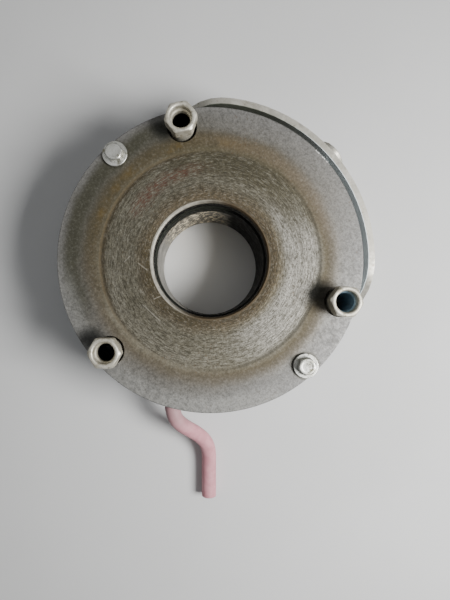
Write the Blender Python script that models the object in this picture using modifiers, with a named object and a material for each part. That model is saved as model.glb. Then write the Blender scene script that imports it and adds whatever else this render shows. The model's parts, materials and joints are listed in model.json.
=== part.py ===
"""Spring-applied electromagnetic brake head, with its hand-release yoke.

It lies on the collar behind its magnet, with the armature plate on top. The release bolts are on
the X axis, the yoke's lever boss is at +Y and the lead leaves between -Y and +X.
"""

import math

import bmesh
import bpy
from mathutils import Matrix, Vector

# Driving dimensions, in metres: the magnet's rings from the bore out, with the coil in a groove
BORE_R = 0.0345
INNER_POLE = 0.0155
GROOVE_W = 0.021
OUTER_POLE = 0.024
GROOVE_DEPTH = 0.025
COLLAR_R = 0.050
MAGNET_T = 0.036
EDGE_CHAMFER = 0.0008

# Clearances
SEAT = 0.0003
AIR_GAP = 0.0010

# Armature plate
PLATE_T = 0.010
PLATE_BORE_STEP = 0.001
PLATE_BORE_CHAMFER = 0.0011
TRACK_R = 0.0675
TRACK_DEPTH = 0.0004
TRACK_SHOULDER = 0.0012

# Coil
BOBBIN_WALL = 0.0012
POTTING_T = 0.0035

# Sleeve bolts, which are hollow and hold the plate's guide shanks
SLEEVE_COUNT = 3
SLEEVE_FIRST = math.radians(30)
SLEEVE_EDGE = 0.011
SLEEVE_R = 0.0074
SLEEVE_STAND = 0.0165
SLEEVE_HEAD_H = 0.0085
SLEEVE_FLATS = 0.0178
SLEEVE_TURNS = (math.radians(-18), math.radians(-1), math.radians(-12))
SLEEVE_BORE_R = 0.0054
SLEEVE_MOUTH_R = 0.0064
SLEEVE_MOUTH_DEPTH = 0.0045
SLEEVE_MOUTH_CHAMFER = 0.0006
SLEEVE_IN_MAGNET = 0.020
PLATE_GUIDE_GAP = 0.0017
SCREW_ACCESS_R = 0.0095

# Pressure springs, in pockets round the inner pole
SPRING_COUNT = 6
SPRING_WIRE_R = 0.0008
SPRING_R = 0.0040
SPRING_TURNS = 4
CLOSED_RISE = 2.2
POCKET_DEPTH = 0.022

# Release bolts, washers and nuts
RELEASE_EDGE = 0.007
BOLT_R = 0.003
BOLT_HEAD_H = 0.004
BOLT_FLATS = 0.010
BOLT_HOLE_GAP = 0.0006
BOLT_TAIL = 0.001
FRONT_WASHER_R = 0.00775
FRONT_WASHER_T = 0.0016
REAR_WASHER_R = 0.006
REAR_WASHER_T = 0.0012
NUT_H = 0.005
NUT_FLATS = 0.010

# Release springs, between the magnet's back and the yoke's arms
RELEASE_SPRING_R = 0.0047
RELEASE_SPRING_WIRE_R = 0.0005
RELEASE_SPRING_TURNS = 3
RELEASE_POCKET_DEPTH = 0.008

# Release yoke, pressed from one sheet
YOKE_T = 0.004
YOKE_HEEL_H = 0.0006
YOKE_HEEL_R = 0.002
YOKE_HEEL_Y = 0.009
YOKE_BEND_R = 0.006
YOKE_GAP = 0.006
YOKE_ARM_HALF = 0.008
YOKE_ARM_END = 0.014
YOKE_ARM_CORNER = 0.005
YOKE_ARM_OVERHANG = 0.008
YOKE_NARROW_FROM = math.radians(22)
YOKE_NARROW_TO = math.radians(44)
YOKE_MIDDLE_FROM = math.radians(60)
YOKE_MIDDLE_W = 0.015
YOKE_FLOW = 0.010
YOKE_HOLE_GAP = 0.001
SKIRT_BELOW_PLATE = 0.002
SKIRT_HALF = math.radians(38)
SKIRT_END = math.radians(62)
LIP_H = 0.002
COLLAR_CLEAR = 0.0013

# Lever boss, welded in the skirt
BOSS_R = 0.010
BOSS_PROUD = 0.0032
BOSS_SPIGOT_R = 0.006
BOSS_BORE_R = 0.0045
BOSS_INSIDE = 0.0015
BOSS_BELOW_TOP = 0.012

# Lead, in a limp sleeve, and its grommet
LEAD_R = 0.0053
LEAD_ANGLE = math.radians(303)
LEAD_HEIGHT = 0.003
GROMMET_PLUG_R = 0.0065
GROMMET_FLANGE_R = 0.0085
GROMMET_FLANGE_T = 0.002

# Levels, from the collar's face up
Z_BACK = (
    COLLAR_CLEAR + BOLT_TAIL + NUT_H + SEAT + REAR_WASHER_T + SEAT + YOKE_T + YOKE_HEEL_H + SEAT
)
Z_FRONT = Z_BACK + MAGNET_T
Z_PLATE = Z_FRONT + AIR_GAP
Z_FACE = Z_PLATE + PLATE_T
Z_SLEEVE = Z_FACE + SLEEVE_STAND
Z_YOKE = Z_BACK - SEAT - YOKE_HEEL_H - YOKE_T
Z_LEAD = Z_FRONT - GROOVE_DEPTH + LEAD_HEIGHT

# Radii that follow
COIL_IN_R = BORE_R + INNER_POLE
COIL_OUT_R = COIL_IN_R + GROOVE_W
BODY_R = COIL_OUT_R + OUTER_POLE
PLATE_BORE_R = BORE_R + PLATE_BORE_STEP
SLEEVE_PITCH_R = BODY_R - SLEEVE_EDGE
RELEASE_PITCH_R = BODY_R - RELEASE_EDGE
SPRING_PITCH_R = BORE_R + INNER_POLE / 2
YOKE_R = BODY_R + YOKE_GAP + YOKE_T

# The brake's axis stands off the origin, which is below the middle of the whole outline
AXIS_Y = -(YOKE_R + BOSS_PROUD + SEAT - BODY_R) / 2

# How many facets go round
BIG_STEPS = 96
MIDDLE_STEPS = 64
SMALL_STEPS = 24
HOLE_STEPS = 24
GUIDE_STEPS = 32
HEEL_STEPS = 16
RIM_STEPS = 38
BEND_STEPS = 4
FLOW_STEPS = 6
WIRE_SIDES = 6
WIRE_STEPS = 10
LEAD_SIDES = 12

# A hexagon's round face, as a share of the width across its flats
HEX_FACE = 0.475

# The lead's route: points right and back from its exit, at heights above the collar's face
LEAD_ROUTE = [
    (0.0042, -0.0044, 0.0277),
    (0.0095, -0.0071, 0.0263),
    (0.0157, -0.0077, 0.0239),
    (0.0222, -0.0068, 0.0205),
    (0.0286, -0.0057, 0.0167),
    (0.0354, -0.0053, 0.0130),
    (0.0419, -0.0067, 0.0098),
    (0.0477, -0.0101, 0.0073),
    (0.0527, -0.0144, 0.0060),
    (0.0575, -0.0188, 0.0056),
    (0.0624, -0.0232, 0.0056),
    (0.0672, -0.0275, 0.0056),
    (0.0721, -0.0319, 0.0056),
]
LEAD_SPACING = 0.0035
LEAD_STRAIGHT = 0.0035

STEEL = ("worn_steel", (0.23, 0.21, 0.18), 0.55, 0.9)
CAST = ("dark_cast_steel", (0.10, 0.10, 0.09), 0.65, 0.8)
PLATED = ("dirty_zinc", (0.55, 0.53, 0.48), 0.42, 0.9)
BRIGHT = ("bright_zinc", (0.72, 0.72, 0.70), 0.30, 1.0)
PRESSED = ("pressed_steel", (0.42, 0.43, 0.42), 0.45, 0.9)
SPRING = ("spring_steel", (0.30, 0.30, 0.32), 0.35, 1.0)
COPPER = ("copper_wire", (0.70, 0.33, 0.18), 0.35, 1.0)
NYLON = ("black_nylon", (0.03, 0.03, 0.03), 0.50, 0.0)
RESIN = ("amber_resin", (0.20, 0.09, 0.03), 0.40, 0.0)
RUBBER = ("black_rubber", (0.03, 0.03, 0.03), 0.75, 0.0)
SILICONE = ("pink_silicone", (0.55, 0.33, 0.34), 0.60, 0.0)


def clear_scene():
    for obj in list(bpy.data.objects):
        bpy.data.objects.remove(obj, do_unlink=True)


def new_collection(name, hidden=False):
    collection = bpy.data.collections.new(name)
    bpy.context.scene.collection.children.link(collection)
    collection.hide_render = hidden
    return collection


def material(name, colour, roughness, metallic):
    found = bpy.data.materials.get(name)
    if found:
        return found
    made = bpy.data.materials.new(name)
    made.use_nodes = True
    shader = made.node_tree.nodes["Principled BSDF"]
    shader.inputs["Base Color"].default_value = (*colour, 1.0)
    shader.inputs["Roughness"].default_value = roughness
    shader.inputs["Metallic"].default_value = metallic
    made.diffuse_color = (*colour, 1.0)
    return made


def new_object(name, data, collection):
    obj = bpy.data.objects.new(name, data)
    collection.objects.link(obj)
    return obj


def empty(name, parent=None, location=(0, 0, 0)):
    obj = new_object(name, None, parts)
    obj.parent = parent
    obj.location = location
    return obj


def turned(name, profile, steps, collection, closed=True):
    """A profile of (radius, height) points, outer side first and downwards, turned about Z."""
    mesh = bpy.data.meshes.new(name)
    count = len(profile)
    edges = [(i, (i + 1) % count) for i in range(count if closed else count - 1)]
    mesh.from_pydata([(r, 0, z) for r, z in profile], edges, [])
    obj = new_object(name, mesh, collection)
    screw = obj.modifiers.new("Turn", "SCREW")
    screw.steps = steps
    screw.render_steps = steps
    screw.use_merge_vertices = True
    screw.merge_threshold = 0.00001
    return obj


def cutter(obj):
    obj.display_type = "WIRE"
    obj.hide_render = True
    return obj


def drill(name, stages, high, place=(0, 0), steps=HOLE_STEPS):
    """A drill along Z from a height down, by stages of (radius, lower end)."""
    profile = [(0, high)]
    for radius, low in stages:
        profile += [(radius, high), (radius, low)]
        high = low
    profile.append((0, high))
    obj = turned(name, profile, steps, cutters, closed=False)
    obj.location = (*place[:2], 0)
    obj.rotation_euler.z = math.atan2(place[1], place[0]) + math.pi / steps
    return cutter(obj)


def hexagon_cutter(name, flats, low, high):
    """A six-sided ring that leaves a hexagon of this width across its flats."""
    corner = flats / math.sqrt(3)
    profile = [(2 * corner, high), (2 * corner, low), (corner, low), (corner, high)]
    return cutter(turned(name, profile, 6, cutters))


def boolean(obj, tool, operation="DIFFERENCE"):
    modifier = obj.modifiers.new(tool.name, "BOOLEAN")
    modifier.object = tool
    modifier.operation = operation
    modifier.solver = "EXACT"


def polar(radius, angle, z=0.0):
    return Vector((radius * math.cos(angle), radius * math.sin(angle), z))


def finish(obj, look, parent, sharp=math.radians(32)):
    """Turns the modifiers into the mesh, shades it and hangs it under its parent where it is."""
    bpy.context.view_layer.update()
    graph = bpy.context.evaluated_depsgraph_get()
    mesh = bpy.data.meshes.new_from_object(obj.evaluated_get(graph))
    obj.modifiers.clear()
    if obj.type == "CURVE":
        name, place = obj.name, obj.matrix_world.copy()
        bpy.data.objects.remove(obj, do_unlink=True)
        weld_caps(mesh)
        obj = new_object(name, mesh, parts)
        obj.matrix_world = place
    obj.data = mesh
    mesh.name = obj.name
    mesh.materials.clear()
    mesh.materials.append(material(*look))
    mesh.shade_smooth()
    mesh.set_sharp_from_angle(angle=sharp)
    obj.parent = parent
    obj.matrix_parent_inverse = Matrix.Translation(-parent_place(parent))
    return obj


def parent_place(obj):
    """Where an empty is, from the world's origin."""
    place = Vector(obj.location)
    if obj.parent:
        place += parent_place(obj.parent)
    return place


def weld_caps(mesh):
    shape = bmesh.new()
    shape.from_mesh(mesh)
    bmesh.ops.remove_doubles(shape, verts=shape.verts, dist=0.00001)
    shape.to_mesh(mesh)
    shape.free()


def tube(name, points, radius, sides, collection):
    """A round bar along a list of points, with filled ends."""
    curve = bpy.data.curves.new(name, "CURVE")
    curve.dimensions = "3D"
    curve.bevel_depth = radius
    curve.bevel_resolution = sides // 2 - 2
    curve.use_fill_caps = True
    spline = curve.splines.new("POLY")
    spline.points.add(len(points) - 1)
    for spot, point in zip(spline.points, points):
        spot.co = (*point, 1.0)
    return new_object(name, curve, collection)


def smooth_route(points, spacing):
    """Points read at an even spacing from a smooth curve through the route's own points."""
    padded = [2 * points[0] - points[1], *points, 2 * points[-1] - points[-2]]
    dense = []
    for before, start, end, after in zip(padded, padded[1:], padded[2:], padded[3:]):
        for step in range(40):
            t = step / 40
            dense.append(
                0.5
                * (
                    2 * start
                    + (end - before) * t
                    + (2 * before - 5 * start + 4 * end - after) * t**2
                    + (3 * start - before - 3 * end + after) * t**3
                )
            )
    dense.append(points[-1])
    lengths = [0.0]
    for a, b in zip(dense, dense[1:]):
        lengths.append(lengths[-1] + (b - a).length)
    count = round(lengths[-1] / spacing)
    route = []
    at = 0
    for i in range(count + 1):
        wanted = lengths[-1] * i / count
        while at < len(lengths) - 2 and lengths[at + 1] < wanted:
            at += 1
        share = (wanted - lengths[at]) / (lengths[at + 1] - lengths[at])
        route.append(dense[at].lerp(dense[at + 1], share))
    return route


def helix(radius, wire_r, low, high, turns):
    """A compression spring's wire, with one closed turn at each end."""
    closed_rise = CLOSED_RISE * wire_r
    bottom = low + wire_r
    top = high - wire_r
    middle = top - bottom - 2 * closed_rise
    points = []
    for i in range(turns * WIRE_STEPS + 1):
        turn = i / WIRE_STEPS
        rise = closed_rise * min(turn, 1)
        rise += middle * min(max((turn - 1) / (turns - 2), 0), 1)
        rise += closed_rise * max(turn - turns + 1, 0)
        points.append(polar(radius, math.tau * turn, bottom + rise))
    return points


def sleeve_places():
    for i in range(SLEEVE_COUNT):
        yield i + 1, polar(SLEEVE_PITCH_R, SLEEVE_FIRST + math.tau * i / SLEEVE_COUNT)


def release_places():
    for i in range(2):
        yield i + 1, polar(RELEASE_PITCH_R, math.pi * i)


def spring_places():
    for i in range(SPRING_COUNT):
        yield i + 1, polar(SPRING_PITCH_R, math.tau * (i + 0.5) / SPRING_COUNT)


def magnet_body():
    profile = [
        (BODY_R - EDGE_CHAMFER, Z_FRONT),
        (BODY_R, Z_FRONT - EDGE_CHAMFER),
        (BODY_R, Z_BACK + EDGE_CHAMFER),
        (BODY_R - EDGE_CHAMFER, Z_BACK),
        (COLLAR_R, Z_BACK),
        (COLLAR_R, EDGE_CHAMFER),
        (COLLAR_R - EDGE_CHAMFER, 0),
        (BORE_R + EDGE_CHAMFER, 0),
        (BORE_R, EDGE_CHAMFER),
        (BORE_R, Z_FRONT - EDGE_CHAMFER),
        (BORE_R + EDGE_CHAMFER, Z_FRONT),
        (COIL_IN_R, Z_FRONT),
        (COIL_IN_R, Z_FRONT - GROOVE_DEPTH),
        (COIL_OUT_R, Z_FRONT - GROOVE_DEPTH),
        (COIL_OUT_R, Z_FRONT),
    ]
    body = turned("magnet_body", profile, MIDDLE_STEPS, parts)
    above = Z_FRONT + EDGE_CHAMFER
    below = Z_BACK - EDGE_CHAMFER
    for i, place in sleeve_places():
        seat = (SLEEVE_R + SEAT, Z_FRONT - SLEEVE_IN_MAGNET - SEAT)
        boolean(body, drill(f"sleeve_seat_{i}", [seat, (SLEEVE_BORE_R, below)], above, place))
    for i, place in release_places():
        way = (BOLT_R + BOLT_HOLE_GAP, Z_BACK + RELEASE_POCKET_DEPTH)
        pocket = (RELEASE_SPRING_R + RELEASE_SPRING_WIRE_R + BOLT_HOLE_GAP, below)
        boolean(body, drill(f"release_way_{i}", [way, pocket], above, place))
    for i, place in spring_places():
        pocket = (SPRING_R + SPRING_WIRE_R + SEAT, Z_FRONT - POCKET_DEPTH)
        boolean(body, drill(f"spring_pocket_{i}", [pocket], above, place))
    lead_stage = (GROMMET_PLUG_R + SEAT, COIL_OUT_R - BOBBIN_WALL)
    way = drill("lead_way", [lead_stage], BODY_R + EDGE_CHAMFER)
    way.rotation_euler = (0, math.pi / 2, LEAD_ANGLE)
    way.location.z = Z_LEAD
    boolean(body, way)
    finish(body, CAST, brake_axis)


def coil():
    low = Z_FRONT - GROOVE_DEPTH + SEAT
    top = Z_FRONT - POTTING_T - SEAT
    inner = COIL_IN_R + SEAT
    outer = COIL_OUT_R - SEAT
    bobbin = [
        (outer, top),
        (outer, low),
        (inner, low),
        (inner, top),
        (inner + BOBBIN_WALL, top),
        (inner + BOBBIN_WALL, low + BOBBIN_WALL),
        (outer - BOBBIN_WALL, low + BOBBIN_WALL),
        (outer - BOBBIN_WALL, top),
    ]
    finish(turned("coil_bobbin", bobbin, MIDDLE_STEPS, parts), NYLON, brake_axis)
    wire_in = inner + BOBBIN_WALL + SEAT
    wire_out = outer - BOBBIN_WALL - SEAT
    wire_low = low + BOBBIN_WALL + SEAT
    winding = [(wire_out, top), (wire_out, wire_low), (wire_in, wire_low), (wire_in, top)]
    finish(turned("coil_winding", winding, MIDDLE_STEPS, parts), COPPER, brake_axis)
    resin_low = top + SEAT
    potting = [(outer, Z_FRONT), (outer, resin_low), (inner, resin_low), (inner, Z_FRONT)]
    finish(turned("coil_potting", potting, MIDDLE_STEPS, parts), RESIN, brake_axis)


def armature_plate():
    track = Z_FACE - TRACK_DEPTH
    profile = [
        (TRACK_R + TRACK_SHOULDER, Z_FACE),
        (BODY_R - EDGE_CHAMFER, Z_FACE),
        (BODY_R, Z_FACE - EDGE_CHAMFER),
        (BODY_R, Z_PLATE + EDGE_CHAMFER),
        (BODY_R - EDGE_CHAMFER, Z_PLATE),
        (PLATE_BORE_R, Z_PLATE),
        (PLATE_BORE_R, track - PLATE_BORE_CHAMFER),
        (PLATE_BORE_R + PLATE_BORE_CHAMFER, track),
        (TRACK_R, track),
    ]
    plate = turned("armature_plate", profile, BIG_STEPS, parts)
    low = Z_PLATE - PLATE_T
    high = Z_FACE + PLATE_T
    for i, place in sleeve_places():
        guide = (SLEEVE_R + PLATE_GUIDE_GAP, low)
        boolean(plate, drill(f"guide_hole_{i}", [guide], high, place, GUIDE_STEPS))
    for i, place in release_places():
        boolean(plate, drill(f"bolt_hole_{i}", [(BOLT_R + BOLT_HOLE_GAP, low)], high, place))
    finish(plate, STEEL, armature_slide)


def hexagon_piece(piece, flats, low, high, place, turn=0.0):
    """Stands a turned piece in its place and cuts its sides to a hexagon between two heights."""
    sides = hexagon_cutter(f"{piece.name}_flats", flats, low, high)
    for obj in (piece, sides):
        obj.location = place
        obj.rotation_euler.z = turn
    boolean(piece, sides)


def sleeve_bolts():
    corner = SLEEVE_FLATS / math.sqrt(3)
    bevel = corner - HEX_FACE * SLEEVE_FLATS
    under = Z_SLEEVE - SLEEVE_HEAD_H
    low = Z_FRONT - SLEEVE_IN_MAGNET
    step = Z_SLEEVE - SLEEVE_MOUTH_DEPTH
    profile = [
        (corner - bevel, Z_SLEEVE),
        (corner, Z_SLEEVE - bevel / 2),
        (corner, under),
        (SLEEVE_R, under),
        (SLEEVE_R, low),
        (SLEEVE_BORE_R, low),
        (SLEEVE_BORE_R, step - SLEEVE_MOUTH_R + SLEEVE_BORE_R),
        (SLEEVE_MOUTH_R, step),
        (SLEEVE_MOUTH_R, Z_SLEEVE - SLEEVE_MOUTH_CHAMFER),
        (SLEEVE_MOUTH_R + SLEEVE_MOUTH_CHAMFER, Z_SLEEVE),
    ]
    for turn, (i, place) in zip(SLEEVE_TURNS, sleeve_places()):
        bolt = turned(f"sleeve_bolt_{i}", profile, SMALL_STEPS, parts)
        hexagon_piece(bolt, SLEEVE_FLATS, under - bevel, Z_SLEEVE + bevel, place, turn)
        finish(bolt, PLATED, brake_axis)


def washer(name, inner, outer, low, thick, place, parent):
    high = low + thick
    profile = [(outer, high), (outer, low), (inner, low), (inner, high)]
    piece = turned(name, profile, SMALL_STEPS, parts)
    piece.location = place
    finish(piece, BRIGHT, parent)


def release_hardware():
    head_low = Z_FACE + SEAT + FRONT_WASHER_T + SEAT
    head_top = head_low + BOLT_HEAD_H
    rear_washer_low = Z_YOKE - SEAT - REAR_WASHER_T
    nut_top = rear_washer_low - SEAT
    nut_low = nut_top - NUT_H
    end = nut_low - BOLT_TAIL
    corner = BOLT_FLATS / math.sqrt(3)
    face_r = HEX_FACE * BOLT_FLATS
    bolt = [
        (0, head_top),
        (face_r, head_top),
        (corner, head_top - (corner - face_r) / 2),
        (corner, head_low),
        (BOLT_R, head_low),
        (BOLT_R, end + BOLT_TAIL / 2),
        (BOLT_R - BOLT_TAIL / 2, end),
        (0, end),
    ]
    nut_corner = NUT_FLATS / math.sqrt(3)
    nut_face_r = HEX_FACE * NUT_FLATS
    nut_bevel = (nut_corner - nut_face_r) / 2
    nut_bore = BOLT_R + SEAT
    nut = [
        (nut_face_r, nut_top),
        (nut_corner, nut_top - nut_bevel),
        (nut_corner, nut_low + nut_bevel),
        (nut_face_r, nut_low),
        (nut_bore, nut_low),
        (nut_bore, nut_top),
    ]
    spring_low = Z_YOKE + YOKE_T + SEAT
    spring_high = Z_BACK + RELEASE_POCKET_DEPTH - SEAT
    past = BOLT_HEAD_H / 4
    for i, place in release_places():
        screw = turned(f"release_bolt_{i}", bolt, SMALL_STEPS, parts, closed=False)
        hexagon_piece(screw, BOLT_FLATS, head_low - past, head_top + past, place)
        finish(screw, BRIGHT, bolt_slide)
        lock = turned(f"release_nut_{i}", nut, SMALL_STEPS, parts)
        hexagon_piece(lock, NUT_FLATS, nut_low - past, nut_top + past, place)
        finish(lock, BRIGHT, bolt_slide)
        hole_r = BOLT_R + SEAT
        washer(
            f"front_washer_{i}", hole_r, FRONT_WASHER_R, Z_FACE + SEAT, FRONT_WASHER_T, place,
            bolt_slide,
        )
        washer(
            f"rear_washer_{i}", hole_r, REAR_WASHER_R, rear_washer_low, REAR_WASHER_T, place,
            bolt_slide,
        )
        wire = helix(
            RELEASE_SPRING_R, RELEASE_SPRING_WIRE_R, spring_low, spring_high,
            RELEASE_SPRING_TURNS,
        )
        spring = tube(f"release_spring_{i}", wire, RELEASE_SPRING_WIRE_R, WIRE_SIDES, parts)
        spring.location = place
        finish(spring, SPRING, brake_axis)


def pressure_springs():
    low = Z_FRONT - POCKET_DEPTH + SEAT
    high = Z_PLATE - SEAT
    wire = helix(SPRING_R, SPRING_WIRE_R, low, high, SPRING_TURNS)
    for i, place in spring_places():
        spring = tube(f"pressure_spring_{i}", wire, SPRING_WIRE_R, WIRE_SIDES, parts)
        spring.location = place
        finish(spring, SPRING, brake_axis)


def skirt_top(angle):
    """The skirt's height at an angle from +X: full in the middle, then ever steeper to a lip."""
    off = abs(angle - math.pi / 2)
    low = Z_YOKE + YOKE_BEND_R + LIP_H
    high = Z_PLATE + SKIRT_BELOW_PLATE
    share = min(max((off - SKIRT_HALF) / (SKIRT_END - SKIRT_HALF), 0), 1)
    return high - (high - low) * share**3


def arc(radius, start, end, count):
    """Points of an arc at the yoke's level, ends included."""
    angles = [start + (end - start) * i / count for i in range(count + 1)]
    return [polar(radius, angle, Z_YOKE) for angle in angles]


def flow(start, start_way, end, end_way):
    """Points between two outlines, leaving the first and meeting the second along their ways."""
    first = start + YOKE_FLOW * start_way
    last = end - YOKE_FLOW * end_way
    points = []
    for i in range(1, FLOW_STEPS):
        t = i / FLOW_STEPS
        a, b, c, d = (1 - t) ** 3, 3 * t * (1 - t) ** 2, 3 * t**2 * (1 - t), t**3
        points.append(a * start + b * first + c * last + d * end)
    return points


def yoke_outline():
    """The flat part's edge from the end of its rim round the right arm to the middle of its bow."""
    inner_x = RELEASE_PITCH_R - YOKE_ARM_HALF
    outer_x = RELEASE_PITCH_R + YOKE_ARM_OVERHANG
    end = -YOKE_ARM_END
    cut = YOKE_ARM_CORNER
    edge = [
        Vector((outer_x, end + cut, Z_YOKE)),
        Vector((outer_x - cut, end, Z_YOKE)),
        Vector((inner_x + cut, end, Z_YOKE)),
        Vector((inner_x, end + cut, Z_YOKE)),
        Vector((inner_x, BOLT_R, Z_YOKE)),
    ]
    narrow = arc(SLEEVE_PITCH_R + SCREW_ACCESS_R, YOKE_NARROW_FROM, YOKE_NARROW_TO, FLOW_STEPS)
    middle = arc(YOKE_R - YOKE_BEND_R - YOKE_MIDDLE_W, YOKE_MIDDLE_FROM, math.pi / 2, FLOW_STEPS)
    quarter = math.pi / 2
    narrow_start_way = polar(1, YOKE_NARROW_FROM + quarter)
    narrow_end_way = polar(1, YOKE_NARROW_TO + quarter)
    middle_way = polar(1, YOKE_MIDDLE_FROM + quarter)
    edge += flow(edge[-1], Vector((0, 1, 0)), narrow[0], narrow_start_way)
    edge += narrow
    edge += flow(narrow[-1], narrow_end_way, middle[0], middle_way)
    return edge + middle


def yoke_sheet():
    """The yoke's outer surface: a flat crescent with two arms, turned up round its outside."""
    flat_r = YOKE_R - YOKE_BEND_R
    first = math.acos((RELEASE_PITCH_R + YOKE_ARM_OVERHANG) / flat_r)
    angles = [math.pi - first - (math.pi - 2 * first) * i / RIM_STEPS for i in range(RIM_STEPS + 1)]
    right_half = yoke_outline()
    left_half = [Vector((-p.x, p.y, p.z)) for p in reversed(right_half[:-1])]

    shape = bmesh.new()
    rim = [shape.verts.new(polar(flat_r, angle, Z_YOKE)) for angle in angles]
    rest = [shape.verts.new(p) for p in right_half + left_half]
    shape.faces.new(rim + rest)
    for level in range(1, BEND_STEPS + 2):
        bend = math.pi / 2 * min(level, BEND_STEPS) / BEND_STEPS
        radius = flat_r + YOKE_BEND_R * math.sin(bend)
        height = Z_YOKE + YOKE_BEND_R * (1 - math.cos(bend))
        above = []
        for angle in angles:
            z = height if level <= BEND_STEPS else skirt_top(angle)
            above.append(shape.verts.new(polar(radius, angle, z)))
        for i in range(len(angles) - 1):
            shape.faces.new((rim[i + 1], rim[i], above[i], above[i + 1]))
        rim = above
    shape.normal_update()
    mesh = bpy.data.meshes.new("release_yoke")
    shape.to_mesh(mesh)
    shape.free()
    return mesh


def release_yoke():
    yoke = new_object("release_yoke", yoke_sheet(), parts)
    solidify = yoke.modifiers.new("Sheet", "SOLIDIFY")
    solidify.thickness = YOKE_T
    solidify.offset = -1
    solidify.use_even_offset = True
    past = YOKE_T
    for i, place in release_places():
        stage = (BOLT_R + YOKE_HOLE_GAP, Z_YOKE - past)
        boolean(yoke, drill(f"yoke_hole_{i}", [stage], Z_YOKE + YOKE_T + past, place))
        half = YOKE_ARM_HALF - YOKE_ARM_CORNER / 2
        heel = drill(f"yoke_heel_{i}", [(YOKE_HEEL_R, -half)], half, steps=HEEL_STEPS)
        heel.rotation_euler = (0, math.pi / 2, 0)
        heel.location = (place.x, -YOKE_HEEL_Y, Z_BACK - SEAT - YOKE_HEEL_R)
        boolean(yoke, heel, "UNION")
    window = drill("lever_window", [(BOSS_SPIGOT_R + SEAT, BODY_R)], YOKE_R + past)
    window.rotation_euler = (-math.pi / 2, 0, 0)
    window.location.z = boss_height()
    boolean(yoke, window)
    finish(yoke, PRESSED, yoke_pivot)


def boss_height():
    return Z_PLATE + SKIRT_BELOW_PLATE - BOSS_BELOW_TOP


def lever_boss():
    seat = YOKE_R + SEAT
    high = seat + BOSS_PROUD
    low = YOKE_R - YOKE_T - BOSS_INSIDE
    profile = [
        (BOSS_R - EDGE_CHAMFER, high),
        (BOSS_R, high - EDGE_CHAMFER),
        (BOSS_R, seat),
        (BOSS_SPIGOT_R, seat),
        (BOSS_SPIGOT_R, low),
        (BOSS_BORE_R, low),
        (BOSS_BORE_R, high),
    ]
    boss = turned("lever_boss", profile, SMALL_STEPS, parts)
    boss.rotation_euler.x = -math.pi / 2
    boss.location.z = boss_height()
    finish(boss, PRESSED, yoke_pivot)


def lead():
    plug_low = COIL_OUT_R + SEAT
    flange_low = BODY_R + SEAT
    mouth = flange_low + GROMMET_FLANGE_T
    profile = [
        (0, mouth),
        (GROMMET_FLANGE_R - EDGE_CHAMFER, mouth),
        (GROMMET_FLANGE_R, mouth - EDGE_CHAMFER),
        (GROMMET_FLANGE_R, flange_low),
        (GROMMET_PLUG_R, flange_low),
        (GROMMET_PLUG_R, plug_low),
        (0, plug_low),
    ]
    grommet = turned("lead_grommet", profile, SMALL_STEPS, parts, closed=False)
    grommet.rotation_euler = (0, math.pi / 2, LEAD_ANGLE)
    grommet.location.z = Z_LEAD
    finish(grommet, RUBBER, brake_axis)

    start = polar(mouth + SEAT, LEAD_ANGLE, Z_LEAD)
    straight = polar(mouth + SEAT + LEAD_STRAIGHT, LEAD_ANGLE, Z_LEAD)
    onward = [Vector((start.x + right, start.y + back, height)) for right, back, height in LEAD_ROUTE]
    route = smooth_route([start, straight, *onward], LEAD_SPACING)
    finish(tube("lead_sleeve", route, LEAD_R, LEAD_SIDES, parts), SILICONE, brake_axis)


clear_scene()
parts = new_collection("electromagnetic_brake")
cutters = new_collection("cutters", hidden=True)
brake_axis = empty("brake_axis")
armature_slide = empty("armature_slide", brake_axis, (0, 0, Z_PLATE))
bolt_slide = empty("bolt_slide", brake_axis, (0, 0, Z_FACE))
yoke_pivot = empty("yoke_pivot", brake_axis, (0, -YOKE_HEEL_Y, Z_BACK - SEAT))

magnet_body()
coil()
armature_plate()
sleeve_bolts()
release_hardware()
pressure_springs()
release_yoke()
lever_boss()
lead()
brake_axis.location.y = AXIS_Y
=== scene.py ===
"""Looks of the electromagnetic brake: its lead, worn metal and fine detail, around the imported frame."""

import json
import math
import random
from typing import NamedTuple

import bmesh
import bpy
from mathutils import Matrix, Vector, noise

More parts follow.
